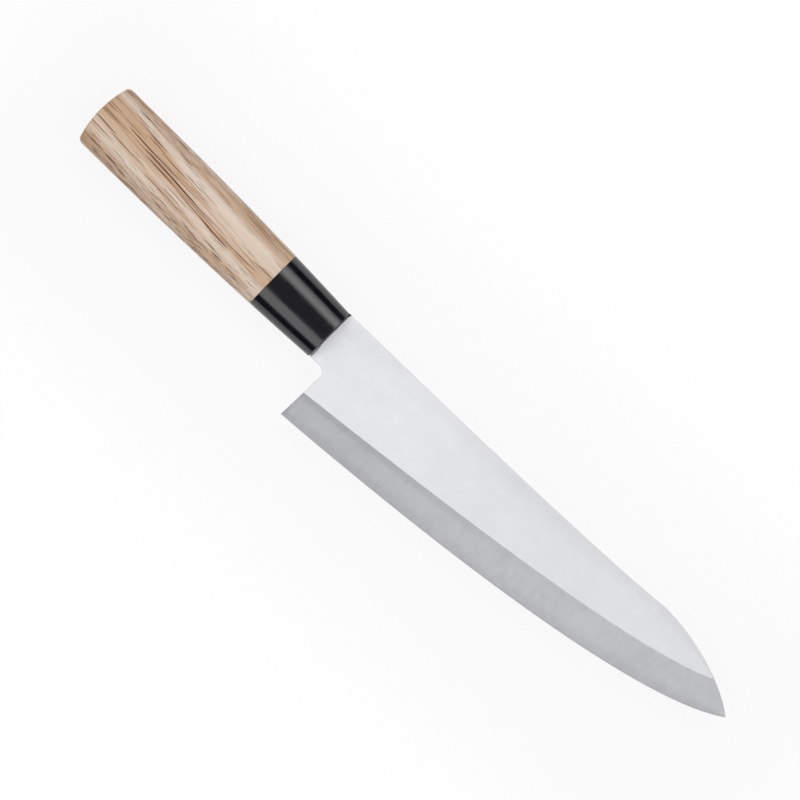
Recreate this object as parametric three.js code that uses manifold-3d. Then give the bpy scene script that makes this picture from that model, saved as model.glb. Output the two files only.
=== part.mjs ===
// A gyuto knife: a steel blade whose hidden tang is bedded in an oval wooden handle with a black ferrule.
// Millimetres. +X runs from the butt to the tip, +Y from the edge to the spine, and the blade lies flat.
// Everything is placed from the middle of the ferrule's mouth, and the whole is centred at the end.
import * as THREE from 'three';
import { mergeVertices, toCreasedNormals } from 'three/addons/utils/BufferGeometryUtils.js';
import Module from 'manifold-3d';

const wasm = await Module();
wasm.setup();

// Clearances
const FIT_GAP = 0.3;
const GLUE_LINE = 0.1;

// Handle and ferrule: heights run from edge side to spine side, thickness from face to face
const HANDLE_LENGTH = 125;
const BUTT_HEIGHT = 28.5;
const BUTT_THICKNESS = 21.2;
const MOUTH_HEIGHT = 23;
const TAPER_POWER = 2.5;
const BUTT_BOW_RADIUS = 52;
const BUTT_CORNER_RADIUS = 2;
const BUTT_EDGE_BREAK = 0.4;
const FERRULE_LENGTH = 31;
const FERRULE_NOSE = 7;
const FERRULE_WALL = 2;
const FERRULE_EDGE_BREAK = 0.3;
const TENON_CHAMFER = 0.8;

// Blade: its length runs from the heel's corner to the tip, and its heights are measured from the neck's spine
const BLADE_LENGTH = 210;
const BLADE_THICKNESS = 2;
const HEEL_HEIGHT = 46.7;
const HEEL_SETBACK = 8;
const HEEL_RAKE = THREE.MathUtils.degToRad(2.3);
const NECK_HEIGHT = 22.6;
const CHOIL_RADIUS = 3.1;
const TIP_DROP = 9.5;
const CREST_RISE = 4.6;
const CREST_TO_TIP = 47.8;
const EASED_EDGE = 0.25;

// Ground faces: the wide bevel ends in a line along the blade, which runs out on the spine behind the tip
const BEVEL_HEIGHT = 12.2;
const BEVEL_RUNOUT = 15.5;
const MICRO_BEVEL_HEIGHT = 0.6;
const MICRO_BEVEL_THICKNESS = 0.3;

// Directions, in degrees, in which the blade's curves leave their start and reach their end
const SPINE_ANGLES = [0.5, 6.1];
const POINT_ANGLES = [0.7, -42.8];
const EDGE_ANGLES = [4, 35.6];
const BEVEL_ANGLES = [6, 25.5];
const LEAVING_REACH = 0.45;
const ARRIVING_REACH = 0.15;

// Tang, the adhesive that beds it, and the seal at the mouth
const TANG_LENGTH = 92;
const TANG_ROOT_HEIGHT = 13;
const TANG_END_HEIGHT = 6;
const BEDDING_WALL = 0.6;
const SEAL_DEPTH = 3;
const BEAD_WIDTH = 0.9;

// Fineness of the facets
const ROUND_STEPS = 64;
const TAPER_STEPS = 14;
const CURVE_STEPS = 20;
const GRIND_STEPS = 40;
const BUTT_STEPS = 8;
const MERGE_DISTANCE = 1e-4;
const CREASE_ANGLE = THREE.MathUtils.degToRad(25);

// Places that several pieces share
const ovalRatio = BUTT_THICKNESS / BUTT_HEIGHT;
const jointX = -FERRULE_LENGTH;
const shoulderX = FIT_GAP;
const spineY = MOUTH_HEIGHT / 2;
const neckY = spineY - NECK_HEIGHT;
const tangEndX = shoulderX - TANG_LENGTH + TANG_END_HEIGHT / 2;
const pocketMargin = FIT_GAP + BEDDING_WALL + FIT_GAP;
const socketRadius = halfHeight(-FERRULE_NOSE) - FERRULE_WALL;
const tenonRadius = socketRadius - FIT_GAP;
const overcut = BLADE_THICKNESS;

// The blade's corners and curves
const heel = new THREE.Vector2(HEEL_SETBACK, spineY - HEEL_HEIGHT);
const tipRise = HEEL_HEIGHT - TIP_DROP;
const tip = new THREE.Vector2(heel.x + Math.sqrt(BLADE_LENGTH ** 2 - tipRise ** 2), heel.y + tipRise);
const crest = new THREE.Vector2(tip.x - CREST_TO_TIP, spineY + CREST_RISE);
const spineCurve = bow(new THREE.Vector2(shoulderX, spineY), crest, SPINE_ANGLES);
const pointCurve = bow(crest, tip, POINT_ANGLES);
const edgeCurve = bow(heel, tip, EDGE_ANGLES);
const bevelStart = new THREE.Vector2(heel.x, heel.y + BEVEL_HEIGHT);
const bevelEnd = pointCurve.getPointAt(1 - BEVEL_RUNOUT / pointCurve.getLength());
const bevelCurve = bow(bevelStart, bevelEnd, BEVEL_ANGLES);

// Half the height of the handle and ferrule at x: parallel at the butt and ever faster in towards the mouth
function halfHeight(x) {
  const along = (x + HANDLE_LENGTH) / HANDLE_LENGTH;
  return (BUTT_HEIGHT - (BUTT_HEIGHT - MOUTH_HEIGHT) * Math.max(along, 0) ** TAPER_POWER) / 2;
}

// Where the butt ends at a height: a shallow bow with rounded corners, seen square on to the blade
function buttX(y) {
  const bowX = BUTT_BOW_RADIUS - HANDLE_LENGTH;
  const innerRadius = BUTT_BOW_RADIUS - BUTT_CORNER_RADIUS;
  const cornerY = BUTT_HEIGHT / 2 - BUTT_CORNER_RADIUS;
  const cornerX = bowX - Math.sqrt(innerRadius ** 2 - cornerY ** 2);
  const height = Math.min(Math.abs(y), BUTT_HEIGHT / 2);
  if (height < cornerY * BUTT_BOW_RADIUS / innerRadius) {
    return bowX - Math.sqrt(BUTT_BOW_RADIUS ** 2 - height ** 2);
  }
  return cornerX - Math.sqrt(BUTT_CORNER_RADIUS ** 2 - (height - cornerY) ** 2);
}

// A smooth curve from start to end in the two given directions
function bow(start, end, [startAngle, endAngle]) {
  const chord = start.distanceTo(end);
  const leaving = step(startAngle, chord * LEAVING_REACH);
  const arriving = step(endAngle, chord * ARRIVING_REACH);
  return new THREE.CubicBezierCurve(start, start.clone().add(leaving), end.clone().sub(arriving), end);
}

function step(angle, length) {
  const turn = THREE.MathUtils.degToRad(angle);
  return new THREE.Vector2(Math.cos(turn), Math.sin(turn)).multiplyScalar(length);
}

function toSolid(geometry) {
  const bare = geometry.clone();
  bare.deleteAttribute('normal');
  bare.deleteAttribute('uv');
  const merged = mergeVertices(bare, MERGE_DISTANCE);
  return new wasm.Manifold(new wasm.Mesh({
    numProp: 3,
    vertProperties: merged.getAttribute('position').array,
    triVerts: Uint32Array.from(merged.index.array),
  }));
}

function toGeometry(solid) {
  const { vertProperties, triVerts } = solid.getMesh();
  const geometry = new THREE.BufferGeometry();
  geometry.setAttribute('position', new THREE.BufferAttribute(vertProperties, 3));
  geometry.setIndex(new THREE.BufferAttribute(triVerts, 1));
  return toCreasedNormals(geometry, CREASE_ANGLE);
}

// A plate of the given outline, centred on the blade's middle plane, with its edges eased if asked
function plate(outline, thickness, easing = 0) {
  const geometry = new THREE.ExtrudeGeometry(outline, {
    depth: thickness - 2 * easing,
    curveSegments: CURVE_STEPS,
    bevelEnabled: easing > 0,
    bevelThickness: easing,
    bevelSize: easing,
    bevelOffset: -easing,
    bevelSegments: 1,
  });
  return toSolid(geometry.translate(0, 0, easing - thickness / 2));
}

// A turned piece on the handle's axis, flattened to the handle's oval; profile points are (radius, x)
function turnedOval(profile) {
  const geometry = new THREE.LatheGeometry(profile.getPoints(), ROUND_STEPS);
  return toSolid(geometry.rotateZ(-Math.PI / 2).scale(1, 1, ovalRatio));
}

// A block as tall and thick as the handle between two places on its axis
function block(fromX, toX, thickness) {
  const geometry = new THREE.BoxGeometry(toX - fromX, BUTT_HEIGHT, thickness);
  return toSolid(geometry.translate((fromX + toX) / 2, 0, 0));
}

// Runs a path back along the tang, round its end and forward again, with a margin all round
function traceTang(path, margin) {
  path.lineTo(shoulderX, -TANG_ROOT_HEIGHT / 2 - margin);
  path.absarc(tangEndX, 0, TANG_END_HEIGHT / 2 + margin, -Math.PI / 2, Math.PI / 2, true);
  path.lineTo(shoulderX, TANG_ROOT_HEIGHT / 2 + margin);
}

// The tang with a margin all round, carried straight on past the mouth
function tangSpace(margin) {
  const frontX = shoulderX + BEAD_WIDTH + overcut;
  const outline = new THREE.Shape();
  outline.moveTo(frontX, TANG_ROOT_HEIGHT / 2 + margin);
  outline.lineTo(frontX, -TANG_ROOT_HEIGHT / 2 - margin);
  traceTang(outline, margin);
  outline.closePath();
  return plate(outline, BLADE_THICKNESS + 2 * margin);
}

// The blade's outline with its tang, left overlong below the edge for grinding
function blankOutline() {
  const rakeSlope = Math.tan(HEEL_RAKE);
  const choilY = neckY - CHOIL_RADIUS;
  const backTopY = choilY - CHOIL_RADIUS * Math.sin(HEEL_RAKE);
  const choilX = heel.x + (backTopY - heel.y) * rakeSlope - CHOIL_RADIUS * Math.cos(HEEL_RAKE);
  const pastTip = tip.clone().add(step(POINT_ANGLES[1], overcut));
  const outline = new THREE.Shape();
  outline.moveTo(shoulderX, spineY);
  for (const curve of [spineCurve, pointCurve]) {
    outline.bezierCurveTo(curve.v1.x, curve.v1.y, curve.v2.x, curve.v2.y, curve.v3.x, curve.v3.y);
  }
  outline.lineTo(pastTip.x, pastTip.y);
  outline.lineTo(tip.x, tip.y - overcut);
  outline.bezierCurveTo(
    edgeCurve.v2.x, edgeCurve.v2.y - overcut,
    edgeCurve.v1.x, edgeCurve.v1.y - overcut,
    heel.x - overcut * rakeSlope, heel.y - overcut,
  );
  outline.absarc(choilX, choilY, CHOIL_RADIUS, -HEEL_RAKE, Math.PI / 2, false);
  outline.lineTo(shoulderX, neckY);
  traceTang(outline, 0);
  outline.closePath();
  return outline;
}

// One slice through the space that grinding leaves: the edge, the micro bevel, the wide bevel, and clear above
function grindSlice(edgePoint, bevelPoint) {
  const across = bevelPoint.clone().sub(edgePoint);
  const micro = edgePoint.clone().addScaledVector(across, MICRO_BEVEL_HEIGHT / across.length());
  const rise = (BLADE_THICKNESS - MICRO_BEVEL_THICKNESS) / 2;
  const over = bevelPoint.clone().addScaledVector(bevelPoint.clone().sub(micro), overcut / rise);
  const clearZ = BLADE_THICKNESS / 2 + overcut;
  const topY = crest.y + HEEL_HEIGHT;
  const side = [
    new THREE.Vector3(micro.x, micro.y, MICRO_BEVEL_THICKNESS / 2),
    new THREE.Vector3(over.x, over.y, clearZ),
    new THREE.Vector3(over.x, topY, clearZ),
  ];
  const otherSide = side.map((p) => new THREE.Vector3(p.x, p.y, -p.z)).reverse();
  return [new THREE.Vector3(edgePoint.x, edgePoint.y, 0), ...side, ...otherSide];
}

// The space that grinding leaves, from behind the tang to past the tip
function grindSpace() {
  const slices = [];
  const carryOn = (share, length) => {
    const edgeEnd = edgeCurve.getPoint(share).addScaledVector(edgeCurve.getTangent(share), length);
    const bevelEndpoint = bevelCurve.getPoint(share).addScaledVector(bevelCurve.getTangent(share), length);
    slices.push(grindSlice(edgeEnd, bevelEndpoint));
  };
  carryOn(0, -(TANG_LENGTH + HEEL_SETBACK + overcut));
  for (let i = 0; i <= GRIND_STEPS; i += 1) {
    const share = i / GRIND_STEPS;
    slices.push(grindSlice(edgeCurve.getPoint(share), bevelCurve.getPoint(share)));
  }
  carryOn(1, BEVEL_RUNOUT);
  return toSolid(skin(slices));
}

// A closed skin over slices that all have the same number of points
function skin(slices) {
  const size = slices[0].length;
  const index = [];
  for (let slice = 0; slice + 1 < slices.length; slice += 1) {
    for (let corner = 0; corner < size; corner += 1) {
      const here = slice * size + corner;
      const beside = slice * size + (corner + 1) % size;
      index.push(here, here + size, beside, beside, here + size, beside + size);
    }
  }
  const last = (slices.length - 1) * size;
  for (let corner = 1; corner + 1 < size; corner += 1) {
    index.push(0, corner, corner + 1);
    index.push(last, last + corner + 1, last + corner);
  }
  const geometry = new THREE.BufferGeometry().setFromPoints(slices.flat());
  return geometry.setIndex(index);
}

function bladeSolid() {
  return plate(blankOutline(), BLADE_THICKNESS, EASED_EDGE).intersect(grindSpace());
}

// The wood: a tenon for the ferrule, the tapering grip and a butt that is bowed from edge side to spine side
function handleSolid() {
  const tenonX = -FERRULE_NOSE - FIT_GAP;
  const profile = new THREE.Path();
  profile.moveTo(0, -HANDLE_LENGTH);
  for (let i = 1; i <= BUTT_STEPS; i += 1) {
    profile.lineTo((BUTT_HEIGHT / 2 - BUTT_EDGE_BREAK) * i / BUTT_STEPS, -HANDLE_LENGTH);
  }
  for (let i = 0; i <= TAPER_STEPS; i += 1) {
    const x = THREE.MathUtils.lerp(BUTT_EDGE_BREAK - HANDLE_LENGTH, jointX, i / TAPER_STEPS);
    profile.lineTo(halfHeight(x), x);
  }
  profile.lineTo(tenonRadius, jointX);
  profile.lineTo(tenonRadius, tenonX - TENON_CHAMFER);
  profile.lineTo(tenonRadius - TENON_CHAMFER, tenonX);
  profile.lineTo(0, tenonX);
  return turnedOval(profile).warp(bowButt).subtract(tangSpace(pocketMargin));
}

// Draws a point of the grip forward, the nearer the butt the more, so that a flat end takes the butt's bow
function bowButt(point) {
  const share = Math.max(jointX - point[0], 0) / (HANDLE_LENGTH - FERRULE_LENGTH);
  point[0] += share * (buttX(point[1]) + HANDLE_LENGTH);
}

// The collar: a socket for the tenon behind, and a nose in front with a slot for the tang
function ferruleSolid() {
  const rearX = jointX + GLUE_LINE;
  const profile = new THREE.Path();
  profile.moveTo(0, -FERRULE_NOSE);
  profile.lineTo(socketRadius, -FERRULE_NOSE);
  profile.lineTo(socketRadius, rearX);
  for (let i = 0; i <= TAPER_STEPS; i += 1) {
    const x = THREE.MathUtils.lerp(rearX, -FERRULE_EDGE_BREAK, i / TAPER_STEPS);
    profile.lineTo(halfHeight(x), x);
  }
  profile.lineTo(MOUTH_HEIGHT / 2 - FERRULE_EDGE_BREAK, 0);
  profile.lineTo(0, 0);
  return turnedOval(profile).subtract(tangSpace(pocketMargin));
}

// The adhesive sleeve round the tang, behind the seal
function beddingSolid() {
  const frontX = -SEAL_DEPTH - FIT_GAP;
  const sleeve = tangSpace(FIT_GAP + BEDDING_WALL).subtract(tangSpace(FIT_GAP));
  return sleeve.subtract(block(frontX, HANDLE_LENGTH, BUTT_THICKNESS));
}

// The seal fills the slot's front and stands out as a bead along both faces of the neck
function sealSolid() {
  const reach = block(-SEAL_DEPTH, BEAD_WIDTH, BUTT_THICKNESS);
  const plug = tangSpace(FIT_GAP + BEDDING_WALL).intersect(reach);
  const neckSpace = block(shoulderX - FIT_GAP, HANDLE_LENGTH, BLADE_THICKNESS + 2 * FIT_GAP);
  return plug.subtract(tangSpace(FIT_GAP)).subtract(neckSpace);
}

const steel = { color: '#e4e5e7', roughness: 0.6, metalness: 1 };
const blackResin = { color: '#131316', roughness: 0.14, metalness: 0 };
const paleWood = { color: '#c9ae99', roughness: 0.6, metalness: 0 };
const amberAdhesive = { color: '#b9a26a', roughness: 0.4, metalness: 0 };
const darkSealant = { color: '#2b2b2e', roughness: 0.55, metalness: 0 };

const knife = new THREE.Group();

function addPiece(name, solid, look) {
  const mesh = new THREE.Mesh(toGeometry(solid), new THREE.MeshStandardMaterial(look));
  mesh.name = name;
  knife.add(mesh);
}

addPiece('blade', bladeSolid(), steel);
addPiece('ferrule', ferruleSolid(), blackResin);
addPiece('handle', handleSolid(), paleWood);
addPiece('tang_bedding', beddingSolid(), amberAdhesive);
addPiece('mouth_seal', sealSolid(), darkSealant);

// The knife lies with its lowest point at height zero and the middle of its outline at the origin
const bounds = new THREE.Box3().setFromObject(knife, true);
const middle = bounds.getCenter(new THREE.Vector3());
knife.position.set(-middle.x, -middle.y, -bounds.min.z);

export default knife;
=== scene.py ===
"""Dresses the gyuto knife: satin steel blade with ground bevels, black ferrule and oval wooden handle."""
import math
from itertools import pairwise

import bmesh
import bpy
from mathutils import Matrix, Vector


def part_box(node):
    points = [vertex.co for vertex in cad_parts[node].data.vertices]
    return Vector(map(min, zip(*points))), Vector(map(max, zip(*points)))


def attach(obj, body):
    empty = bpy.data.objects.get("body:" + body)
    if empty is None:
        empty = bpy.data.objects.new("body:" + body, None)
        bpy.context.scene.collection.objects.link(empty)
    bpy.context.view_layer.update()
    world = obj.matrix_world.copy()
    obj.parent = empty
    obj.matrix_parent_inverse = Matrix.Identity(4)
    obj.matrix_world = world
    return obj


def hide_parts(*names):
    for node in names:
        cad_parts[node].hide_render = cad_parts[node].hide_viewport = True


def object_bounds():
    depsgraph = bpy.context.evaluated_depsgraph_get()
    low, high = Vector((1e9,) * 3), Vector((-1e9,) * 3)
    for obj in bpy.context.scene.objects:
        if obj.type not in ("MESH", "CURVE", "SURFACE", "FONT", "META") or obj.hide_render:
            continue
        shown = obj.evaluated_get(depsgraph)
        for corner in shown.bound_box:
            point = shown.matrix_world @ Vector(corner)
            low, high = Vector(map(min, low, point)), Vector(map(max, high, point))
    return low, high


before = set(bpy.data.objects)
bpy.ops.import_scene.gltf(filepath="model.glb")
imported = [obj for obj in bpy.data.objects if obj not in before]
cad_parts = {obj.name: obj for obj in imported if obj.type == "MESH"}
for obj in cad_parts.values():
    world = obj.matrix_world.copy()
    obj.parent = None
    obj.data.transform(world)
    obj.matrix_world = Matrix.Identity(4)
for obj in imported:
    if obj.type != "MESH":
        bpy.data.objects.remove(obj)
cad_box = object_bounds()

# Values that the frame's boxes don't give, as in the solids; lengths are in metres. The bevel's runout, which
# the solids measure along the curve, is taken along x and rounded.
MOUTH_HEIGHT = 0.0230
TAPER_POWER = 2.5
BUTT_BOW_RADIUS = 0.052
BUTT_CORNER_RADIUS = 0.002
FERRULE_WALL = 0.002
FIT_GAP = 0.0003
TANG_ROOT_HEIGHT = 0.013
TANG_END_HEIGHT = 0.006
BLADE_LENGTH = 0.210
HEEL_HEIGHT = 0.0467
HEEL_SETBACK = 0.008
HEEL_RAKE = math.radians(2.3)
NECK_HEIGHT = 0.0226
CHOIL_RADIUS = 0.0031
TIP_DROP = 0.0095
CREST_RISE = 0.0046
CREST_TO_TIP = 0.0478
BEVEL_HEIGHT = 0.0122
BEVEL_RUNOUT_X = 0.0135
MICRO_BEVEL_HEIGHT = 0.0006
MICRO_BEVEL_THICKNESS = 0.0003

# Angles in degrees at which the blade's curves leave their start and reach their end, and how far the
# controls of the curves reach in those directions, as shares of the chord
SPINE_ANGLES = (0.5, 6.1)
POINT_ANGLES = (0.7, -42.8)
EDGE_ANGLES = (4.0, 35.6)
BEVEL_ANGLES = (6.0, 25.5)
LEAVING_REACH = 0.45
ARRIVING_REACH = 0.15

# Finish of the edges and the bevels, finer than in the solids
EASED_EDGE = 0.00015
BEVEL_HOLLOW = 0.00002
JOINT_CHAMFER = 0.00012
BUTT_EDGE_RADIUS = 0.0006
FERRULE_EDGE_RADIUS = 0.00025

# The bead at the mouth: how far it stands out along the blade, how far it laps over the slot's rim and the
# spine, below which height and over what height it widens, and how near the spine's corner it widens again
BEAD_THIN = 0.0004
BEAD_WIDE = 0.0009
BEAD_LAP = 0.0002
BEAD_OVER_SPINE = 0.0001
BEAD_WIDENS_AT = -0.0040
BEAD_WIDENS_OVER = 0.0030
BEAD_CORNER = 0.0014

# Its ends thin out to a share of its rise, over so many of its steps
BEAD_END_RISE = 0.3
BEAD_END_STEPS = 4

# Places from the frame; pieces are made round the middle of the ferrule's mouth and then carried there
handle_low, handle_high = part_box("handle")
ferrule_low, ferrule_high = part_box("ferrule")
blade_low, blade_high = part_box("blade")
seal_low, seal_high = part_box("mouth_seal")
middle_of_handle = (handle_low + handle_high) / 2
MOUTH = Vector((ferrule_high.x, middle_of_handle.y, middle_of_handle.z))
BUTT_HEIGHT = handle_high.y - handle_low.y
OVAL_RATIO = (handle_high.z - handle_low.z) / BUTT_HEIGHT
HANDLE_LENGTH = ferrule_high.x - handle_low.x
FERRULE_LENGTH = ferrule_high.x - ferrule_low.x
FACE_HALF_HEIGHT = MOUTH_HEIGHT / 2 - FERRULE_EDGE_RADIUS
HALF_THICKNESS = (blade_high.z - blade_low.z) / 2
TENON_X = handle_high.x - MOUTH.x
TANG_END_X = blade_low.x - MOUTH.x
TANG_END_RADIUS = TANG_END_HEIGHT / 2
TANG_ROUND_X = TANG_END_X + TANG_END_RADIUS
SEAL_HALF_HEIGHT = (seal_high.y - seal_low.y) / 2
SEAL_HALF_THICKNESS = (seal_high.z - seal_low.z) / 2
SLOT_HALF_HEIGHT = SEAL_HALF_HEIGHT + FIT_GAP
SLOT_HALF_THICKNESS = SEAL_HALF_THICKNESS + FIT_GAP
BEAD_RISE = SLOT_HALF_THICKNESS - HALF_THICKNESS + BEAD_LAP

# Fineness of the meshes, in steps
ROUND_STEPS = 160
GRIP_STEPS = 60
COLLAR_STEPS = 40
BUTT_STEPS = 16
FACE_STEPS = 4
POCKET_STEPS = 12
BEAD_STEPS = 72
BEND_STEPS = 6
TANG_STEPS = 10
NECK_STEPS = 24
BLADE_STEPS = 150
EASING_STEPS = 3

# Faces that meet at more than these angles show a crease
CREASE = math.radians(35)
SOFT_CREASE = math.radians(40)

# Points of the blade nearer than this are welded
WELD_DISTANCE = 1e-6

# Stands in for a height of nothing where something is divided by a height
LEAST_HEIGHT = 1e-9


def lerp(a, b, share):
    """The number or point that lies a share of the way from one to another."""
    return a + (b - a) * share


def spaced(low, high, count):
    """So many evenly spaced numbers from low on, of which high would be the next."""
    return [lerp(low, high, i / count) for i in range(count)]


def half_height(x):
    """Half the height of handle and ferrule at x: parallel at the butt, ever faster in towards the mouth."""
    along = max((x + HANDLE_LENGTH) / HANDLE_LENGTH, 0.0)
    return (BUTT_HEIGHT - (BUTT_HEIGHT - MOUTH_HEIGHT) * along ** TAPER_POWER) / 2


def butt_x(y):
    """Where the butt ends at a height: a shallow bow with rounded corners, seen square on to the blade."""
    bow_x = BUTT_BOW_RADIUS - HANDLE_LENGTH
    inner = BUTT_BOW_RADIUS - BUTT_CORNER_RADIUS
    corner_y = BUTT_HEIGHT / 2 - BUTT_CORNER_RADIUS
    corner_x = bow_x - math.sqrt(inner ** 2 - corner_y ** 2)
    height = min(abs(y), BUTT_HEIGHT / 2)
    if height < corner_y * BUTT_BOW_RADIUS / inner:
        return bow_x - math.sqrt(BUTT_BOW_RADIUS ** 2 - height ** 2)
    return corner_x - math.sqrt(max(BUTT_CORNER_RADIUS ** 2 - (height - corner_y) ** 2, 0.0))


def tang_half_height(x):
    """Half the tang's height at x: a taper from its root back to its round end."""
    if x < TANG_ROUND_X:
        return math.sqrt(max(TANG_END_RADIUS ** 2 - (TANG_ROUND_X - x) ** 2, 0.0))
    return lerp(TANG_END_RADIUS, TANG_ROOT_HEIGHT / 2, (x - TANG_ROUND_X) / (FIT_GAP - TANG_ROUND_X))


class Bow:
    """A smooth curve in the blade's plane that leaves its start and reaches its end at given angles."""

    HALVINGS = 40

    def __init__(self, start, end, angles):
        chord = (end - start).length
        leaving, arriving = (math.radians(angle) for angle in angles)
        out = Vector((math.cos(leaving), math.sin(leaving))) * chord * LEAVING_REACH
        back = Vector((math.cos(arriving), math.sin(arriving))) * chord * ARRIVING_REACH
        self.points = (start, start + out, end - back, end)
        self.slopes = (math.tan(leaving), math.tan(arriving))

    def at(self, t):
        """The curve's point at t, which runs from 0 to 1."""
        a, b, c, d = self.points
        s = 1 - t
        return a * s ** 3 + b * 3 * t * s ** 2 + c * 3 * t ** 2 * s + d * t ** 3

    def height(self, x):
        """The curve's y at x, carried straight on past both ends."""
        start, end = self.points[0], self.points[3]
        if x <= start.x:
            return start.y + (x - start.x) * self.slopes[0]
        if x >= end.x:
            return end.y + (x - end.x) * self.slopes[1]
        low, high = 0.0, 1.0
        for _ in range(self.HALVINGS):
            middle = (low + high) / 2
            if self.at(middle).x < x:
                low = middle
            else:
                high = middle
        return self.at(low).y


# The blade's corners and curves
spine_y = MOUTH_HEIGHT / 2
neck_y = spine_y - NECK_HEIGHT
heel = Vector((HEEL_SETBACK, spine_y - HEEL_HEIGHT))
tip_rise = HEEL_HEIGHT - TIP_DROP
tip = Vector((heel.x + math.sqrt(BLADE_LENGTH ** 2 - tip_rise ** 2), heel.y + tip_rise))
crest = Vector((tip.x - CREST_TO_TIP, spine_y + CREST_RISE))
spine_curve = Bow(Vector((FIT_GAP, spine_y)), crest, SPINE_ANGLES)
point_curve = Bow(crest, tip, POINT_ANGLES)
edge_curve = Bow(heel, tip, EDGE_ANGLES)
runout_x = tip.x - BEVEL_RUNOUT_X
bevel_end = Vector((runout_x, point_curve.height(runout_x)))
bevel_curve = Bow(heel + Vector((0, BEVEL_HEIGHT)), bevel_end, BEVEL_ANGLES)


def back_height(x):
    """The upper outline's y at x: the spine, then the drop to the point."""
    return spine_curve.height(x) if x < crest.x else point_curve.height(x)


def add_piece(name, mesh, materials, node):
    """Carries a finished bmesh to the mouth and puts it in the scene in place of a CAD node."""
    data = bpy.data.meshes.new(name)
    mesh.transform(Matrix.Translation(MOUTH))
    mesh.to_mesh(data)
    mesh.free()
    piece = bpy.data.objects.new(name, data)
    bpy.context.scene.collection.objects.link(piece)
    for material in materials:
        data.materials.append(material)
    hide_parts(node)
    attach(piece, "root")
    return piece


def skin_rings(mesh, rings, endless=False):
    """Joins rings of points with quads; a ring of one point closes the end with a fan."""
    rows = [[mesh.verts.new(point) for point in ring] for ring in rings]
    pairs = list(pairwise(rows))
    if endless:
        pairs.append((rows[-1], rows[0]))
    for near, far in pairs:
        count = max(len(near), len(far))
        for i in range(count):
            corners = [near[i % len(near)], near[(i + 1) % len(near)]]
            corners += [far[(i + 1) % len(far)], far[i % len(far)]]
            mesh.faces.new(list(dict.fromkeys(corners)))
    return rows


def smooth_shade(mesh, crease):
    """Shades a mesh smooth, with creases between materials and where faces meet at more than an angle."""
    bmesh.ops.recalc_face_normals(mesh, faces=mesh.faces)
    for face in mesh.faces:
        face.smooth = True
    for edge in mesh.edges:
        materials = {face.material_index for face in edge.link_faces}
        edge.smooth = len(materials) == 1 and edge.calc_face_angle(0.0) < crease


def oval(x, half):
    """A ring of points across the handle at x."""
    turns = spaced(0.0, 2 * math.pi, ROUND_STEPS)
    return [Vector((x, half * math.cos(a), half * OVAL_RATIO * math.sin(a))) for a in turns]


def slot_ring(x, half_tall, half_thick):
    """A ring with the same count as the oval ones, round a slot for the tang."""
    ring = []
    for point in oval(x, 1.0):
        reach = max(abs(point.y) / half_tall, abs(point.z) / half_thick)
        ring.append(Vector((x, point.y / reach, point.z / reach)))
    return ring


def arc(centre, radius, start, end):
    """Points (x, height over the axis) on a small round, from one angle to another."""
    turns = [*spaced(start, end, BEND_STEPS), end]
    return [(centre[0] + radius * math.cos(a), centre[1] + radius * math.sin(a)) for a in turns]


def taper(start_x, end_x, count):
    """Points (x, height over the axis) on the common taper of handle and ferrule, without the last one."""
    return [(x, half_height(x)) for x in spaced(start_x, end_x, count)]


# The ferrule's socket, for the tenon on the handle
SOCKET_FLOOR_X = TENON_X + FIT_GAP
SOCKET_RADIUS = half_height(SOCKET_FLOOR_X) - FERRULE_WALL


def bow_butt(point):
    """Draws a point forward, the nearer the butt the more, so that a flat end takes the butt's bow."""
    share = (-FERRULE_LENGTH - point.x) / (HANDLE_LENGTH - FERRULE_LENGTH)
    return Vector((point.x + share * (butt_x(point.y) + HANDLE_LENGTH), point.y, point.z))


def grip_profile():
    """The grip's outline, with a flat butt: from the ferrule over the butt's rim nearly to its middle."""
    joint_x = -FERRULE_LENGTH
    rim_x = BUTT_EDGE_RADIUS - HANDLE_LENGTH
    butt_half = BUTT_HEIGHT / 2 - BUTT_EDGE_RADIUS
    profile = [(joint_x, half_height(joint_x) - JOINT_CHAMFER)]
    profile += taper(joint_x - JOINT_CHAMFER, rim_x, GRIP_STEPS)
    profile += arc((rim_x, butt_half), BUTT_EDGE_RADIUS, math.pi / 2, math.pi)
    profile += [(-HANDLE_LENGTH, half) for half in spaced(butt_half, 0.0, BUTT_STEPS)[1:]]
    return profile


def make_handle(material):
    """The oval grip: a bored tenon for the ferrule, the long taper and the bowed butt with its eased rim."""
    pocket_x = TANG_END_X - FIT_GAP
    room = SLOT_HALF_HEIGHT - TANG_ROOT_HEIGHT / 2
    tenon_radius = SOCKET_RADIUS - FIT_GAP
    rings = [[Vector((pocket_x, 0, 0))]]
    for x in [*spaced(pocket_x, TENON_X, POCKET_STEPS), TENON_X]:
        rings.append(slot_ring(x, tang_half_height(x) + room, SLOT_HALF_THICKNESS))
    rings += [oval(TENON_X, tenon_radius), oval(-FERRULE_LENGTH, tenon_radius)]
    rings += [[bow_butt(point) for point in oval(x, half)] for x, half in grip_profile()]
    rings.append([Vector((-HANDLE_LENGTH, 0, 0))])
    mesh = bmesh.new()
    skin_rings(mesh, rings)
    smooth_shade(mesh, CREASE)
    add_piece("wooden_handle", mesh, [material], "handle")


def collar_profile():
    """The ferrule's outline from its joint with the grip to its eased front edge."""
    rear_x = -FERRULE_LENGTH
    front_x = -FERRULE_EDGE_RADIUS
    profile = [(rear_x, half_height(rear_x) - JOINT_CHAMFER)]
    profile += taper(rear_x + JOINT_CHAMFER, front_x, COLLAR_STEPS)
    profile += arc((front_x, FACE_HALF_HEIGHT), FERRULE_EDGE_RADIUS, math.pi / 2, 0.0)
    return profile


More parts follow.
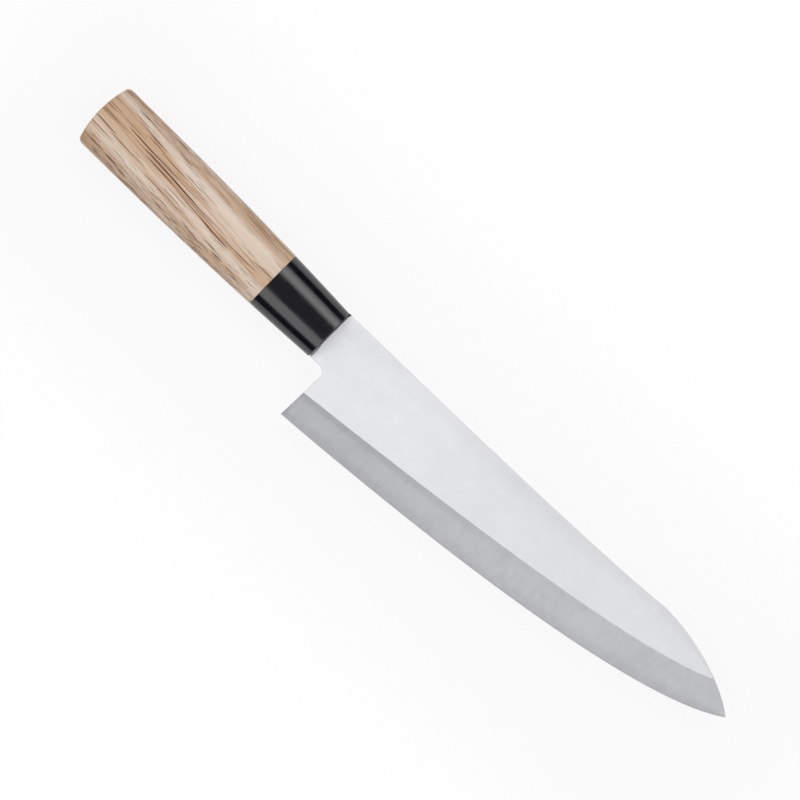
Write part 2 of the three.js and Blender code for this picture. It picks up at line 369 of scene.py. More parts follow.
def make_ferrule(material):
    """The tapering collar, with a slot for the tang in its front face and a socket for the tenon behind."""
    rings = [oval(x, half) for x, half in collar_profile()]
    face = oval(0, FACE_HALF_HEIGHT)
    slot = slot_ring(0, SLOT_HALF_HEIGHT, SLOT_HALF_THICKNESS)
    for i in range(1, FACE_STEPS + 1):
        rings.append([lerp(outer, inner, i / FACE_STEPS) for outer, inner in zip(face, slot)])
    rings.append(slot_ring(SOCKET_FLOOR_X, SLOT_HALF_HEIGHT, SLOT_HALF_THICKNESS))
    rings += [oval(SOCKET_FLOOR_X, SOCKET_RADIUS), oval(-FERRULE_LENGTH, SOCKET_RADIUS)]
    mesh = bmesh.new()
    skin_rings(mesh, rings, endless=True)
    smooth_shade(mesh, CREASE)
    add_piece("black_ferrule", mesh, [material], "ferrule")


def bead_width(y):
    """How far the bead stands out along the blade: wider on the edge side and in the spine's corner."""
    change = min(max((BEAD_WIDENS_AT - y) / BEAD_WIDENS_OVER, 0.0), 1.0)
    corner = min(max((y - spine_y) / BEAD_CORNER + 1, 0.0), 1.0)
    return lerp(BEAD_THIN, BEAD_WIDE, max(change * change * (3 - 2 * change), corner))


def bead_ring(y, high):
    """A ring round the bead at a height: its hollow side on the blade's right face, then on the left one."""
    width = bead_width(y)
    bend = [*spaced(0.0, math.pi / 2, BEND_STEPS), math.pi / 2]
    side = [(width * (1 - math.sin(a)), high * (1 - math.cos(a))) for a in bend]
    side.append((-FIT_GAP, high))
    ring = [Vector((x, y, HALF_THICKNESS + z)) for x, z in side]
    ring += [Vector((x, y, -HALF_THICKNESS - z)) for x, z in reversed(side)]
    return ring


def add_bead(mesh):
    """The bead along both faces of the neck and over its spine, thinner at its ends."""
    low_y, high_y = neck_y + BEAD_THIN, spine_y + BEAD_OVER_SPINE
    rings = []
    for i in range(BEAD_STEPS + 1):
        from_end = min(i, BEAD_STEPS - i) / BEAD_END_STEPS
        fullness = lerp(BEAD_END_RISE, 1.0, math.sqrt(min(from_end, 1.0)))
        rings.append(bead_ring(lerp(low_y, high_y, i / BEAD_STEPS), BEAD_RISE * fullness))
    rows = skin_rings(mesh, rings)
    mesh.faces.new(rows[0])
    mesh.faces.new(rows[-1])


def add_plug(mesh):
    """The sealant behind the bead, which fills the slot round the tang up to just behind the mouth."""
    back_x, front_x = seal_low.x - MOUTH.x, -FIT_GAP / 3
    rings = [slot_ring(x, SEAL_HALF_HEIGHT, SEAL_HALF_THICKNESS) for x in (back_x, front_x)]
    rings += [slot_ring(x, TANG_ROOT_HEIGHT / 2, HALF_THICKNESS) for x in (front_x, back_x)]
    skin_rings(mesh, rings, endless=True)


def make_seal(material):
    """The dark sealant at the mouth: the bead and the plug behind it."""
    mesh = bmesh.new()
    add_bead(mesh)
    add_plug(mesh)
    smooth_shade(mesh, SOFT_CREASE)
    add_piece("mouth_sealant", mesh, [material], "mouth_seal")


# The blade's steels, in the order of its materials
FLAT, GROUND, KEEN, RIM = range(4)

# Rows across the blade: over the ground bevel, then on the flat below and above the choil's corner
GROUND_ROWS, LOWER_ROWS = 8, 2
TURN_ROW = 1 + GROUND_ROWS + LOWER_ROWS

# The rows above it run on over the neck, where the middle ones run on again as the tang
TANG_ROWS = 4
TANG_FIRST_ROW = 2


def across_tang(half):
    """Heights of the rows' ends across the tang, which is so high on each side of its axis."""
    return [lerp(-half, half, i / TANG_ROWS) for i in range(TANG_ROWS + 1)]


tang_levels = [(y - neck_y) / NECK_HEIGHT for y in across_tang(TANG_ROOT_HEIGHT / 2)]
NECK_LEVELS = [0.0, tang_levels[0] / 2, *tang_levels, (1 + tang_levels[-1]) / 2, 1.0]

# Lines across the blade are counted from the tang's end, and lie closer towards the tip
NECK_START = BEND_STEPS + TANG_STEPS
BODY_START = NECK_START + NECK_STEPS
TIP_CROWDING = 1.5

# Tries at finding the bevel's height on a leaning line, and the most of the height that the micro bevel takes
BEVEL_TRIES = 6
MICRO_BEVEL_SHARE = 0.3

# The place of the whole tang in the finish, half way up the flat
TANG_PLACE = 1.5


def blade_line(share):
    """One line across the blade, leaning like the heel at first: its foot, its top and its bevel's height."""
    foot_x = lerp(heel.x, tip.x, share)
    top_x = lerp(heel.x + HEEL_HEIGHT * math.tan(HEEL_RAKE), tip.x, share)
    foot = Vector((foot_x, edge_curve.height(foot_x)))
    top = Vector((top_x, back_height(top_x)))
    bevel = BEVEL_HEIGHT
    for _ in range(BEVEL_TRIES):
        level = bevel / max(top.y - foot.y, LEAST_HEIGHT)
        bevel = bevel_curve.height(lerp(foot_x, top_x, min(level, 1.0))) - foot.y
    return foot, top, bevel


# Where the choil's round meets the heel, and how far up the flat there that is
choil_y = neck_y - CHOIL_RADIUS
choil_end_y = choil_y - CHOIL_RADIUS * math.sin(HEEL_RAKE)
choil_x = heel.x + (choil_end_y - heel.y) * math.tan(HEEL_RAKE) - CHOIL_RADIUS * math.cos(HEEL_RAKE)
heel_foot, heel_top, heel_bevel = blade_line(0.0)
TURN_SHARE = (choil_end_y - heel_foot.y - heel_bevel) / (heel_top.y - heel_foot.y - heel_bevel)

# Over the choil the lines fan forward by so much at the spine, and less and less over this share of the blade
FAN_REACH = 0.003
FAN_SHARE = 0.25


def fanned_top(top, share):
    """The top of a line across the blade, with the fan over the choil."""
    x = top.x + FAN_REACH * max(1 - share / FAN_SHARE, 0.0)
    return Vector((x, back_height(x)))


def half_thickness(height, bevel, micro):
    """Half the blade's thickness at a height over the edge, where the bevel and micro bevel are so high."""
    edge_half = MICRO_BEVEL_THICKNESS / 2
    if height <= micro:
        return edge_half * height / max(micro, LEAST_HEIGHT)
    share = min((height - micro) / (bevel - micro), 1.0)
    return lerp(edge_half, HALF_THICKNESS, share) - BEVEL_HOLLOW * 4 * share * (1 - share)


def blade_column(share):
    """Points up one line across the blade, each with its half thickness and its place across the finish."""
    foot, top, bevel = blade_line(share)
    tall = max(top.y - foot.y, 0.0)
    ground = min(bevel, tall)
    micro = min(MICRO_BEVEL_HEIGHT, MICRO_BEVEL_SHARE * tall)
    turn = lerp(ground, tall, TURN_SHARE)
    turn_place = 1 + TURN_SHARE
    spots = [(0.0, 0.0)]
    spots += [(lerp(micro, ground, i / GROUND_ROWS), i / GROUND_ROWS) for i in range(GROUND_ROWS + 1)]
    for level in spaced(0.0, 1.0, LOWER_ROWS)[1:]:
        spots.append((lerp(ground, turn, level), lerp(1, turn_place, level)))
    column = []
    for height, place in spots:
        point = foot.lerp(top, height / max(tall, LEAST_HEIGHT))
        column.append((point, half_thickness(height, bevel, micro), place))
    corner = foot.lerp(top, turn / max(tall, LEAST_HEIGHT))
    for level in NECK_LEVELS:
        half = half_thickness(lerp(turn, tall, level), bevel, micro)
        column.append((corner.lerp(fanned_top(top, share), level), half, lerp(turn_place, 2, level)))
    return column


def neck_underside():
    """Points along the neck's underside and round the choil, from the mouth nearly to the heel."""
    straight_steps = NECK_STEPS // 3
    points = [Vector((x, neck_y)) for x in spaced(FIT_GAP, choil_x, straight_steps)]
    for angle in spaced(math.pi / 2, -HEEL_RAKE, NECK_STEPS - straight_steps):
        x = choil_x + CHOIL_RADIUS * math.cos(angle)
        y = choil_y + CHOIL_RADIUS * math.sin(angle)
        points.append(Vector((x, y)))
    return points


def neck_columns():
    """Lines across the neck, from its underside and the choil's round up to the spine."""
    places = [lerp(1 + TURN_SHARE, 2, level) for level in NECK_LEVELS]
    top_places = spaced(FIT_GAP, fanned_top(heel_top, 0.0).x, NECK_STEPS)
    columns = []
    for bottom, top_x in zip(neck_underside(), top_places):
        top = Vector((top_x, back_height(top_x)))
        points = [bottom.lerp(top, level) for level in NECK_LEVELS]
        columns.append([(point, HALF_THICKNESS, place) for point, place in zip(points, places)])
    return columns


def tang_columns():
    """Lines across the tang, from its round end up to the neck's shoulder."""
    turns = spaced(0.0, math.pi / 2, BEND_STEPS)
    places = [TANG_ROUND_X - TANG_END_RADIUS * math.cos(turn) for turn in turns]
    places += spaced(TANG_ROUND_X, FIT_GAP, TANG_STEPS)
    columns = []
    for x in places:
        points = [Vector((x, y)) for y in across_tang(tang_half_height(x))]
        columns.append([(point, HALF_THICKNESS, TANG_PLACE) for point in points])
    return columns


class BladeSkin:
    """The blade's mesh in the making: each point has a place in the finish, and each face its steel."""

    def __init__(self):
        self.mesh = bmesh.new()
        self.finish = self.mesh.loops.layers.uv.new("finish")
        self.places = {}

    def add_point(self, point, half, place, side):
        """Sets one point on one side of the blade's middle plane."""
        vert = self.mesh.verts.new((point.x, point.y, side * half))
        self.places[vert] = (point.x, place)
        return vert

    def add_side(self, columns, side):
        """Sets all points of one side, line by line."""
        return [[self.add_point(*spot, side) for spot in column] for column in columns]

    def add_face(self, corners, steel):
        """Joins points by a face of one steel."""
        face = self.mesh.faces.new(corners)
        face.material_index = steel
        for loop in face.loops:
            loop[self.finish].uv = self.places[loop.vert]


def steel_at(line, row):
    """Which steel a face shows, by the line across the blade that it starts from and its row."""
    if line < BODY_START or row > GROUND_ROWS:
        return FLAT
    return KEEN if row == 0 else GROUND


def skin_side(skin, grid):
    """Joins the lines of one side with faces."""
    for line, (near, far) in enumerate(pairwise(grid)):
        shift = TANG_FIRST_ROW if line == NECK_START - 1 else len(far) - len(near)
        for row in range(len(near) - 1):
            corners = [near[row], far[row + shift], far[row + 1 + shift], near[row + 1]]
            skin.add_face(corners, steel_at(line, row))


def outline_of(grid):
    """One side's points from the tang's end: along the back to the tip, and along the front to the heel."""
    shoulder = grid[NECK_START]
    back = [line[-1] for line in grid[:NECK_START]] + shoulder[TANG_FIRST_ROW + TANG_ROWS:-1]
    back += [line[-1] for line in grid[NECK_START:]]
    front = [line[0] for line in grid[:NECK_START]] + shoulder[TANG_FIRST_ROW:0:-1]
    front += [line[0] for line in grid[NECK_START:BODY_START]]
    front += reversed(grid[BODY_START][:TURN_ROW + 1])
    return back, front


def easing_weight(ends):
    """How far an edge of the outline is eased: less where the blade is thinner, and not behind the mouth."""
    if min(vert.co.x for vert in ends) < FIT_GAP:
        return 0.0
    thinner = min(abs(vert.co.z) for vert in ends)
    return min(thinner / HALF_THICKNESS, 1.0)


def close_rim(skin, right, left):
    """Closes the blade's thickness along its outline, and marks how far the edges there are eased."""
    weight = skin.mesh.edges.layers.float.new("bevel_weight_edge")
    for over, below in zip(outline_of(right), outline_of(left)):
        for (a, b), (c, d) in zip(pairwise(over), pairwise(below)):
            skin.add_face([a, b, d, c], RIM)
            for ends in ((a, b), (c, d)):
                skin.mesh.edges.get(ends)[weight] = easing_weight(ends)


def ease_edges(piece):
    """Rounds the marked edges."""
    easing = piece.modifiers.new("eased_edges", "BEVEL")
    easing.limit_method = "WEIGHT"
    easing.width = EASED_EDGE
    easing.segments = EASING_STEPS
    easing.use_clamp_overlap = False
    easing.harden_normals = True
    easing.material = RIM


def make_blade(materials):
    """The blade and tang on both sides of their middle plane, closed round the outline, with eased edges."""
    body = [blade_column(1 - (1 - i / BLADE_STEPS) ** TIP_CROWDING) for i in range(BLADE_STEPS + 1)]
    columns = tang_columns() + neck_columns() + body
    skin = BladeSkin()
    right = skin.add_side(columns, 1)
    left = skin.add_side(columns, -1)
    skin_side(skin, right)
    skin_side(skin, left)
    close_rim(skin, right, left)
    bmesh.ops.remove_doubles(skin.mesh, verts=skin.mesh.verts, dist=WELD_DISTANCE)
    smooth_shade(skin.mesh, SOFT_CREASE)
    ease_edges(add_piece("steel_blade", skin.mesh, materials, "blade"))


# The ranges in which one noise, and the sum of two, mostly lie
NOISE_RANGE = (0.3, 0.7)
TWO_NOISES_RANGE = (0.7, 1.3)


def connect(tree, socket, value):
    """Gives a socket a value or another node's output."""
    if isinstance(value, bpy.types.NodeSocket):
        tree.links.new(value, socket)
    else:
        socket.default_value = value


def set_inputs(tree, node, **inputs):
    """Connects a node's inputs by their names, in which _ stands for a space."""
    for name, value in inputs.items():
        connect(tree, node.inputs[name.replace("_", " ")], value)


def add_node(tree, kind, options=None, **inputs):
    """Adds a shader node with its options and inputs."""
    node = tree.nodes.new(kind)
    for name, value in (options or {}).items():
        setattr(node, name, value)
    set_inputs(tree, node, **inputs)
    return node


def operate(tree, kind, operation, a, b):
    """The outputs of a node that works something out from two inputs of the same name."""
    node = add_node(tree, kind, {"operation": operation})
    connect(tree, node.inputs[0], a)
    connect(tree, node.inputs[1], b)
    return node.outputs


def calculate(tree, operation, a, b=0.0):
    """A number worked out from one or two others."""
    return operate(tree, "ShaderNodeMath", operation, a, b)["Value"]


def multiply(tree, product, *factors):
    """The product of some numbers."""
    for factor in factors:
        product = calculate(tree, "MULTIPLY", product, factor)
    return product


def stretch(tree, vector, scale):
    """Scales a vector by three numbers."""
    return operate(tree, "ShaderNodeVectorMath", "MULTIPLY", vector, scale)["Vector"]


def noise(tree, place, pattern, detail=2.0, roughness=0.5, output="Fac"):
    """Smooth noise over a place in metres; the pattern is how many waves a metre it has along each axis."""
    vector = stretch(tree, place, pattern)
    node = add_node(tree, "ShaderNodeTexNoise", Vector=vector, Scale=1.0, Detail=detail, Roughness=roughness)
    return node.outputs[output]


def rise(tree, value, low, high, to_low=0.0, to_high=1.0):
    """Goes smoothly from one number to another as the value goes from low to high."""
    node = add_node(tree, "ShaderNodeMapRange", {"interpolation_type": "SMOOTHSTEP"})
    for socket, number in zip(node.inputs, (value, low, high, to_low, to_high)):
        connect(tree, socket, number)
    return node.outputs[0]


def spread(tree, noise_value, to_low, to_high):
    """Spreads a noise smoothly between two numbers."""
    return rise(tree, noise_value, *NOISE_RANGE, to_low, to_high)


def blend_colour(tree, factor, a, b, mode="MIX"):
    """A colour mixed from two; the node's colour sockets share names with others, so they go by number."""
    node = add_node(tree, "ShaderNodeMix", {"data_type": "RGBA", "blend_type": mode})
    for number, value in ((0, factor), (6, a), (7, b)):
        connect(tree, node.inputs[number], value)
    return node.outputs[2]


def shade_colour(tree, colour, factor):
    """A colour made darker or lighter by a factor."""
    grey = add_node(tree, "ShaderNodeCombineColor", Red=factor, Green=factor, Blue=factor).outputs[0]
    return blend_colour(tree, 1.0, colour, grey, "MULTIPLY")


def srgb(red, green, blue):
    """A colour as a picture shows it, from 0 to 255, for a shader."""
    def linear(value):
        value /= 255
        return value / 12.92 if value <= 0.04045 else ((value + 0.055) / 1.055) ** 2.4
    return (linear(red), linear(green), linear(blue), 1.0)


def new_material(name):
    """A new material, its nodes and its shader."""
    material = bpy.data.materials.new(name)
    material.use_nodes = True
    tree = material.node_tree
    return material, tree, tree.nodes["Principled BSDF"]


def bump(tree, height, depth, strength):
    """The normal of a surface that is so deeply uneven, in metres."""
    node = add_node(tree, "ShaderNodeBump", Height=height, Distance=depth, Strength=strength)
    return node.outputs["Normal"]


def coordinates(tree):
    """Coordinates on the knife itself, in metres."""
    return add_node(tree, "ShaderNodeTexCoord").outputs["Object"]


def split(tree, vector):
    """A vector's parts, by the names of their axes."""
    return add_node(tree, "ShaderNodeSeparateXYZ", Vector=vector).outputs


# The wood, from the middle of the handle: how far its grain leans and sways, in what pattern, where the heart
# of its tree lay across it, how far apart its broad tones are, and which ring is in the middle of a warm tone
GRAIN_LEAN = math.radians(3.2)
GRAIN_SWAY = (0.0, 0.0022, 0.0010)
SWAY_PATTERN = (10, 30, 30)
TREE_HEART = (0.0, 0.110, -0.012)
TONE_PITCH = 0.0145
WARM_RING = 0.1109

# The pattern of its patches, what a warm ring and the butt add to their warmth, and which sums are the palest
# and the warmest wood
PATCH_PATTERN = (14, 220, 220)
RING_WARMTH = 0.11
BUTT_WARMTH = 0.15
WARMTH_RANGE = (0.26, 0.78)

# The length and spacing of its vessels, coarse to fine, and of the finer lines between them
VESSELS = ((0.070, 0.00080), (0.054, 0.00068), (0.040, 0.00054))
FINE_LINES = (0.045, 0.00050)

# Where these fade out, in spacings from their middle, and how much thinner vessels are in pale and warm wood
VESSEL_FADE = (0.19, 0.25)
FINE_LINE_FADE = (0.25, 0.4)
VESSEL_THINNING = (0.10, -0.02)

# How strong they are; the fine lines in pale and in warm wood
VESSEL_STRENGTH = 0.95
FINE_LINE_STRENGTH = (0.15, 0.7)

# The fibres, and how dark and light they make the wood
FIBRE_PATTERN = (110, 6000, 6000)
FIBRE_TONES = (0.93, 1.05)

PALE_WOOD = srgb(224, 208, 193)
WARM_WOOD = srgb(198, 164, 134)
FINE_LINE_BROWN = srgb(164, 123, 89)
VESSEL_BROWN = srgb(88, 52, 29)


def leaning_grain(tree):
    """Coordinates that run along the wood's fibres, from the middle of the handle."""
    lean = add_node(tree, "ShaderNodeMapping", {"vector_type": "TEXTURE"}, Vector=coordinates(tree),
                    Location=middle_of_handle, Rotation=(0.0, 0.0, -GRAIN_LEAN)).outputs[0]
    sway = noise(tree, lean, SWAY_PATTERN, detail=1.0, output="Color")
    return operate(tree, "ShaderNodeVectorMath", "ADD", lean, stretch(tree, sway, GRAIN_SWAY))["Vector"]


def warm_tone(tree, grain):
    """How warm the wood is: broad waves over the year rings, patchy, and warmer towards the butt."""
    across = stretch(tree, grain, (0.0, 1.0, 1.0))
    from_heart = operate(tree, "ShaderNodeVectorMath", "DISTANCE", across, TREE_HEART)["Value"]
    ring = calculate(tree, "SUBTRACT", from_heart, WARM_RING)
    wave = calculate(tree, "COSINE", multiply(tree, ring, 2 * math.pi / TONE_PITCH))
    patches = noise(tree, grain, PATCH_PATTERN, detail=1.0)
    warmth = calculate(tree, "ADD", multiply(tree, wave, RING_WARMTH), patches)
    butt = rise(tree, split(tree, grain)["X"], -HANDLE_LENGTH / 2, 0.0, BUTT_WARMTH, 0.0)
    return rise(tree, calculate(tree, "ADD", warmth, butt), *WARMTH_RANGE)


def line_distance(tree, grain, length, spacing):
    """How far a place is from the nearest of many lines scattered along the grain, in spacings."""
    cells = stretch(tree, grain, (1 / length, 1 / spacing, 1 / spacing))
    return add_node(tree, "ShaderNodeTexVoronoi", Vector=cells, Scale=1.0).outputs["Distance"]


def fine_lines(tree, grain, warmth):
    """How much a place shows of a fine line, which is more in warm wood."""
    lines = rise(tree, line_distance(tree, grain, *FINE_LINES), *FINE_LINE_FADE, 1.0, 0.0)
    return multiply(tree, lines, rise(tree, warmth, 0.0, 1.0, *FINE_LINE_STRENGTH))


def vessel_lines(tree, grain, warmth):
    """How much of a vessel lies at a place; vessels are thinner in pale wood."""
    distance = 1.0
    for length, spacing in VESSELS:
        distance = calculate(tree, "MINIMUM", distance, line_distance(tree, grain, length, spacing))
    thinner = rise(tree, warmth, 0.0, 1.0, *VESSEL_THINNING)
    return rise(tree, calculate(tree, "ADD", distance, thinner), *VESSEL_FADE, 1.0, 0.0)


def wood_material():
    """Pale oiled wood: broad warm tones, dark vessels with finer lines between them, and fibres."""
    material, tree, shader = new_material("oiled_wood")
    grain = leaning_grain(tree)
    warmth = warm_tone(tree, grain)
    vessels = vessel_lines(tree, grain, warmth)
    fibre = spread(tree, noise(tree, grain, FIBRE_PATTERN), *FIBRE_TONES)
    colour = blend_colour(tree, warmth, PALE_WOOD, WARM_WOOD)
    colour = blend_colour(tree, fine_lines(tree, grain, warmth), colour, FINE_LINE_BROWN)
    colour = blend_colour(tree, multiply(tree, vessels, VESSEL_STRENGTH), colour, VESSEL_BROWN)
    set_inputs(
        tree, shader,
        Base_Color=shade_colour(tree, colour, fibre),
        Roughness=rise(tree, vessels, 0.0, 1.0, 0.42, 0.62),
        Normal=bump(tree, calculate(tree, "SUBTRACT", fibre, vessels), depth=0.00006, strength=0.6),
        Specular_IOR_Level=0.25)
    return material


def resin_material():
    """Polished black resin with a faint haze and fine polishing marks."""
    material, tree, shader = new_material("black_resin")
    haze = noise(tree, coordinates(tree), pattern=(220, 260, 260), detail=3.0)
    marks = noise(tree, coordinates(tree), pattern=(9000, 500, 500))
    set_inputs(
        tree, shader,
        Base_Color=blend_colour(tree, haze, srgb(7, 7, 14), srgb(11, 11, 20)),
        Roughness=spread(tree, haze, 0.14, 0.2),
        Normal=bump(tree, marks, depth=0.00001, strength=0.12),
        Specular_IOR_Level=0.78)
    return material


def sealant_material():
    """Dark set sealant with a slightly uneven skin, greyer below a height on the edge side, where the bead is
    wide.
    """
    material, tree, shader = new_material("dark_sealant")
    lumps = noise(tree, coordinates(tree), pattern=(1500, 1500, 1500))
    grey_top_y = MOUTH.y + BEAD_WIDENS_AT
    wide_grey_share = rise(tree, split(tree, coordinates(tree))["Y"], grey_top_y - BEAD_WIDENS_OVER, grey_top_y, 1.0, 0.0)
    dark = blend_colour(tree, lumps, srgb(12, 12, 14), srgb(26, 26, 29))
    grey = blend_colour(tree, lumps, srgb(120, 117, 124), srgb(150, 147, 154))
    set_inputs(
        tree, shader,
        Base_Color=blend_colour(tree, wide_grey_share, dark, grey),
        Roughness=spread(tree, lumps, 0.4, 0.6),
        Normal=bump(tree, lumps, depth=0.00005, strength=0.5))
    return material


def adhesive_material():
    """Set amber adhesive, hidden in the handle."""
    material, tree, shader = new_material("amber_adhesive")
    cloud = noise(tree, coordinates(tree), pattern=(300, 900, 900), detail=3.0)
    set_inputs(
        tree, shader,
        Base_Color=blend_colour(tree, cloud, srgb(176, 150, 92), srgb(205, 184, 128)),
        Roughness=spread(tree, cloud, 0.35, 0.55))
    return material


# The pattern of the steels' clouds, and how far their roughness varies along their marks
STEEL_CLOUDS = (30, 45, 45)
UNEVENNESS = 0.04


def steel_material(name, colour, roughness, pattern, depth, mottle=0.04, painted_shading=None):
    """Brushed steel: the pattern and depth of its marks, how far its tone varies, and the light and shade
    painted into its colour.
    """
    material, tree, shader = new_material(name)
    marks = noise(tree, coordinates(tree), pattern, detail=3.0, roughness=0.6)
    clouds = noise(tree, coordinates(tree), STEEL_CLOUDS, detail=6.0, roughness=0.75)
    tone = rise(tree, calculate(tree, "ADD", marks, clouds), *TWO_NOISES_RANGE, 1 - mottle, 1 + mottle)
    # Light and shade painted into the steel's colour, on top of its random tone
    if painted_shading:
        tone = multiply(tree, tone, painted_shading(tree))
    set_inputs(
        tree, shader,
        Base_Color=shade_colour(tree, colour, tone),
        Metallic=1.0,
        Roughness=spread(tree, marks, roughness - UNEVENNESS, roughness + UNEVENNESS),
        Normal=bump(tree, marks, depth, strength=0.3))
    return material


def finish_place(tree):
    """A place on the blade: metres along it, and across it 0 at the edge, 1 at the bevel, 2 at the spine."""
    parts = split(tree, add_node(tree, "ShaderNodeUVMap", {"uv_map": "finish"}).outputs[0])
    return parts["X"], parts["Y"]


# Light and shade painted into the colours of the flat and the bevel: between the first two places the tone
# goes from the third number to the fourth. Places along the flat are metres from the mouth, along the bevel
# metres from the heel, and places across are those of finish_place.
# The flat: painted light near the ferrule against its shade, and painted shade along the blade and towards
# the spine
FLAT_NECK_PAINTED_LIGHT = (0.002, 0.007, 1.1, 1.0)
FLAT_PAINTED_SHADE_ALONG = (0.03, 0.12, 1.04, 0.97)
FLAT_PAINTED_SHADE_TO_SPINE = (1.65, 1.95, 1.0, 0.95)
# The bevel: painted shade towards the edge, at the heel and along the blade
BEVEL_PAINTED_SHADE_TO_EDGE = (0.0, 0.42, 0.895, 1.0)
BEVEL_PAINTED_SHADE_AT_HEEL = (0.0005, 0.0022, 0.9, 1.0)
BEVEL_PAINTED_SHADE_ALONG = (0.0, 0.125, 0.955, 1.055)

# In the same form, how a painted shade sets in up to the bevel's line, and how deep it is along the bevel
BEVEL_PAINTED_SHADE_TO_LINE = (0.70, 0.90, 0.0, 1.0)
BEVEL_LINE_PAINTED_SHADE = (0.0, 0.18, 0.135, 0.0)


def flat_painted_shading(tree):
    """Painted light and shade on the flat: painted a little darker towards the spine and away from the
    handle, and painted brightest at the neck, where the ferrule's shade falls.
    """
    along, across = finish_place(tree)
    # Painted light where the ferrule's shade falls on the flat
    neck_painted_light = rise(tree, along, *FLAT_NECK_PAINTED_LIGHT)
    return multiply(tree, neck_painted_light, rise(tree, along, *FLAT_PAINTED_SHADE_ALONG), rise(tree, across, *FLAT_PAINTED_SHADE_TO_SPINE))


def bevel_painted_shading(tree):
    """Painted shade on the bevel: darker towards the edge and the heel, and under its upper line, most near
    the heel.
    """
    along, across = finish_place(tree)
    from_heel = calculate(tree, "SUBTRACT", along, heel.x)
    # Painted shade under the bevel's upper line
    dark = multiply(tree, rise(tree, across, *BEVEL_PAINTED_SHADE_TO_LINE), rise(tree, from_heel, *BEVEL_LINE_PAINTED_SHADE))
    under_line_painted_shade = calculate(tree, "SUBTRACT", 1.0, dark)
    lengthwise_painted_shade = multiply(tree, rise(tree, from_heel, *BEVEL_PAINTED_SHADE_AT_HEEL), rise(tree, from_heel, *BEVEL_PAINTED_SHADE_ALONG))
    return multiply(tree, rise(tree, across, *BEVEL_PAINTED_SHADE_TO_EDGE), under_line_painted_shade, lengthwise_painted_shade)


def blade_steels():
    """The steels of the blade, in the order of FLAT, GROUND, KEEN and RIM."""
    return [
        steel_material("satin_steel", srgb(233, 234, 236), roughness=0.65, pattern=(60, 6000, 6000),
                       depth=0.000004, painted_shading=flat_painted_shading),
        steel_material("ground_steel", srgb(199, 200, 203), roughness=0.55, pattern=(2300, 240, 240),
                       depth=0.000003, mottle=0.06, painted_shading=bevel_painted_shading),
        steel_material("keen_edge", srgb(172, 173, 176), roughness=0.5, pattern=(6000, 200, 200),
                       depth=0.000002),
        # The rim's steel is a darker copy of the flat's: painted shade that keeps its eased edges from a
        # bright highlight
        steel_material("rim_steel", srgb(208, 209, 212), roughness=0.5, pattern=(60, 6000, 6000),
                       depth=0.000002)]


def dress_knife():
    """Makes all pieces that show, and gives the hidden bedding its material."""
    make_handle(wood_material())
    make_ferrule(resin_material())
    make_seal(sealant_material())
    make_blade(blade_steels())
    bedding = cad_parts["tang_bedding"]
    bedding.data.materials.clear()
    bedding.data.materials.append(adhesive_material())


# The picture: so wide, seen square on from so far, with the handle's axis turned to run down to the right,
# and its middle as measured from the mouth
VIEW_WIDTH = 0.312
VIEW_DISTANCE = 4.0
VIEW_TURN = math.radians(44.5)
VIEW_MIDDLE = Vector((0.0374, 0.0013, 0.0))
SENSOR_WIDTH = 36.0

# The light: a wide soft ring above the knife, between two angles from straight up, with dim middle and sides
RING_ANGLES = (math.radians(26.5), math.radians(59))
RING_SOFTNESS = 0.02
RING_LEVEL = 1.74
MIDDLE_LEVEL = 0.17
SIDE_LEVEL = 0.03

# A soft box in the ring on the spine's side, so far from straight up, that makes it a little brighter there
SOFT_BOX_ANGLE = math.radians(40)
SOFT_BOX_DISTANCE = 0.9
SOFT_BOX_SIZE = (0.6, 0.24)
SOFT_BOX_LEVEL = 0.9

# The floor: its size and grey, how white it is seen near the knife, where its shadow shows, and between which
# distances from the knife that goes over to all white
FLOOR_RADIUS = 10.0
FLOOR_SIDES = 96
FLOOR_GREY = (0.68, 0.68, 0.68, 1.0)
NEAR_WHITENESS = 0.88
SHADOW_REACH = (0.01, 0.09)


def place_camera():
    """Looks straight down on the knife from far off."""
    camera = bpy.data.cameras.new("camera")
    camera.sensor_width = SENSOR_WIDTH
    camera.lens = SENSOR_WIDTH * VIEW_DISTANCE / VIEW_WIDTH
    holder = bpy.data.objects.new("camera", camera)
    bpy.context.scene.collection.objects.link(holder)
    holder.location = MOUTH + VIEW_MIDDLE + Vector((0, 0, VIEW_DISTANCE))
    holder.rotation_euler = (0.0, 0.0, VIEW_TURN)
    bpy.context.scene.camera = holder


def hang_soft_box():
    """A lamp over the spine's side that faces the handle's axis below the middle of the knife's length."""
    lamp = bpy.data.lights.new("soft_box", "AREA")
    lamp.shape = "RECTANGLE"
    lamp.size, lamp.size_y = SOFT_BOX_SIZE
    lamp.energy = SOFT_BOX_LEVEL * math.pi * lamp.size * lamp.size_y
    holder = bpy.data.objects.new("soft_box", lamp)
    bpy.context.scene.collection.objects.link(holder)
    reach = Vector((0, math.sin(SOFT_BOX_ANGLE), math.cos(SOFT_BOX_ANGLE))) * SOFT_BOX_DISTANCE
    holder.location = Vector((0, MOUTH.y, MOUTH.z)) + reach
    holder.rotation_euler = (-SOFT_BOX_ANGLE, 0.0, 0.0)


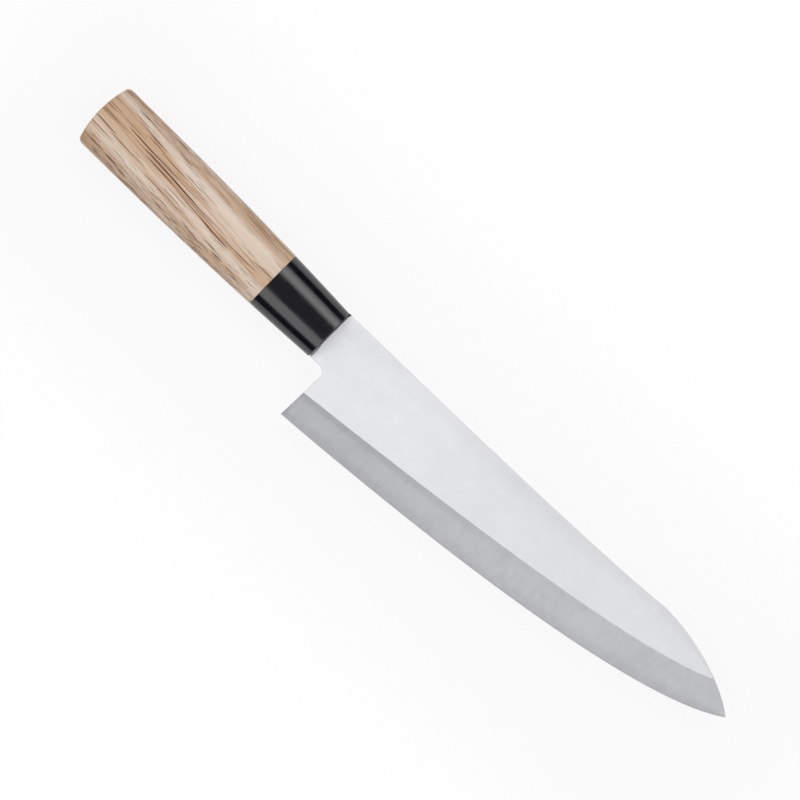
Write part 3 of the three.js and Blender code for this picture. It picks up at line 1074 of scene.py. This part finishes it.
def light_room():
    """The world's light, by how high up a direction looks."""
    world = bpy.data.worlds.new("studio")
    world.use_nodes = True
    tree = world.node_tree
    up = split(tree, add_node(tree, "ShaderNodeTexCoord").outputs["Generated"])["Z"]
    inner, outer = (math.cos(angle) for angle in RING_ANGLES)
    level = rise(tree, up, outer - RING_SOFTNESS, outer + RING_SOFTNESS, SIDE_LEVEL, RING_LEVEL)
    level = rise(tree, up, inner - RING_SOFTNESS, inner + RING_SOFTNESS, level, MIDDLE_LEVEL)
    set_inputs(tree, tree.nodes["Background"], Color=(1, 1, 1, 1), Strength=level)
    bpy.context.scene.world = world


def distance_from_knife(tree):
    """How far a place on the floor lies outside the knife's box, whose middle is the origin, in metres."""
    parts = split(tree, coordinates(tree))
    squares = []
    for axis, half in zip("XY", cad_box[1]):
        past = calculate(tree, "SUBTRACT", calculate(tree, "ABSOLUTE", parts[axis]), half)
        squares.append(calculate(tree, "POWER", calculate(tree, "MAXIMUM", past, 0.0), 2.0))
    return calculate(tree, "SQRT", calculate(tree, "ADD", *squares))


def seen_or_mirrored(tree):
    """1 where a surface is seen, also mirrored or through glass, and 0 where it only passes light on."""
    light_path = add_node(tree, "ShaderNodeLightPath")
    seen = light_path.outputs["Is Camera Ray"]
    for ray in ("Is Glossy Ray", "Is Transmission Ray"):
        seen = calculate(tree, "MAXIMUM", seen, light_path.outputs[ray])
    return seen


def floor_material():
    """Pale floor that shows the knife's shadow near it and is plain white further off."""
    material, tree, shader = new_material("pale_floor")
    set_inputs(tree, shader, Base_Color=FLOOR_GREY, Roughness=1.0, Specular_IOR_Level=0.0)
    whiteness = rise(tree, distance_from_knife(tree), *SHADOW_REACH, NEAR_WHITENESS, 1.0)
    white = add_node(tree, "ShaderNodeEmission", Strength=1.0)
    mix = add_node(tree, "ShaderNodeMixShader", Fac=multiply(tree, seen_or_mirrored(tree), whiteness))
    connect(tree, mix.inputs[1], shader.outputs[0])
    connect(tree, mix.inputs[2], white.outputs[0])
    set_inputs(tree, tree.nodes["Material Output"], Surface=mix.outputs[0])
    return material


def lay_floor():
    """A wide round floor under the knife."""
    mesh = bmesh.new()
    bmesh.ops.create_circle(mesh, cap_ends=True, segments=FLOOR_SIDES, radius=FLOOR_RADIUS)
    data = bpy.data.meshes.new("floor")
    mesh.to_mesh(data)
    mesh.free()
    data.materials.append(floor_material())
    floor = bpy.data.objects.new("floor", data)
    bpy.context.scene.collection.objects.link(floor)


dress_knife()
place_camera()
light_room()
hang_soft_box()
lay_floor()
bpy.context.scene.view_settings.view_transform = "Standard"
